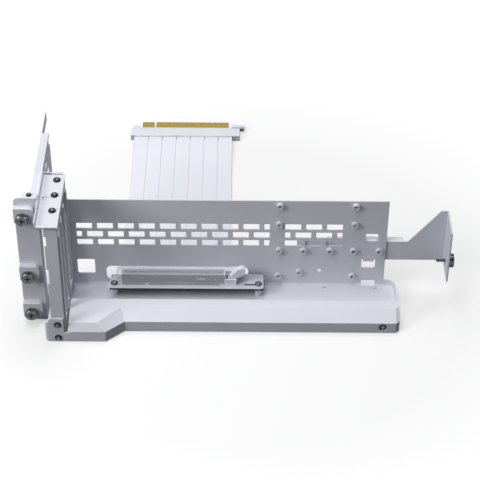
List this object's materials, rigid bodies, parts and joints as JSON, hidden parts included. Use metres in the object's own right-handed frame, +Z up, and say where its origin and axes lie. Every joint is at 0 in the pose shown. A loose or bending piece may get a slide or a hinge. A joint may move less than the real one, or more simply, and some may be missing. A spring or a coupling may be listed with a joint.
{
  "type": "vertical graphics card bracket",
  "caption": "White steel bracket that holds a graphics card upright: slot frame, adjustable support arm, riser slot and flat ribbon cable with plug.",
  "frame": {"origin": "centre of the bracket's base, without the free cable", "axes": "+X along the card from its slot wall to the arm's end flange, +Y from the card to the back of the panel, +Z up"},
  "size_m": [0.365, 0.3159, 0.132],
  "materials": {
    "white_steel": "satin powder coat",
    "black_screw": "satin black",
    "dark_nickel": "satin",
    "white_board": "gloss lacquer",
    "white_plastic": "matte",
    "grey_shell": "brushed",
    "white_cable": "satin",
    "gold_contacts": "polished"
  },
  "bodies": {
    "frame": {"main_frame": "white_steel", "panel_bosses": "white_steel", "front_bar": "white_steel", "slot_frame": "white_steel", "chassis_plate": "white_steel", "card_screws": "black_screw", "tab_screws": "black_screw", "rear_screws": "black_screw", "side_screw": "black_screw", "plate_screw": "black_screw", "bar_screw": "black_screw", "riser_screws": "black_screw", "plate_thumbscrews": "dark_nickel", "arm_screw": "dark_nickel", "riser_board": "white_board", "riser_posts": "white_steel", "slot_housing": "white_plastic", "slot_shell": "grey_shell", "cable_cover": "white_plastic", "ribbon_strip_1": "white_cable", "ribbon_strip_2": "white_cable", "ribbon_strip_3": "white_cable", "ribbon_strip_4": "white_cable", "ribbon_strip_5": "white_cable", "ribbon_strip_6": "white_cable", "ribbon_strip_7": "white_cable", "plug_board": "gold_contacts", "plug_shell_lower": "white_plastic", "plug_shell_upper": "white_plastic", "plug_hook": "white_plastic"},
    "arm": {"support_arm": "white_steel", "end_thumbscrew": "dark_nickel"},
    "latch": {"slot_latch": "white_plastic"}
  },
  "joints": [
    {"name": "arm_slide", "type": "slide", "parent": "frame", "child": "arm", "axis": [1, 0, 0], "range_m": [-0.012, 0.012]},
    {"name": "latch_hinge", "type": "hinge", "parent": "frame", "child": "latch", "pos_m": [-0.0079, -0.02195, 0.0203], "axis": [0, 1, 0], "range_deg": [0, 28]}
  ]
}
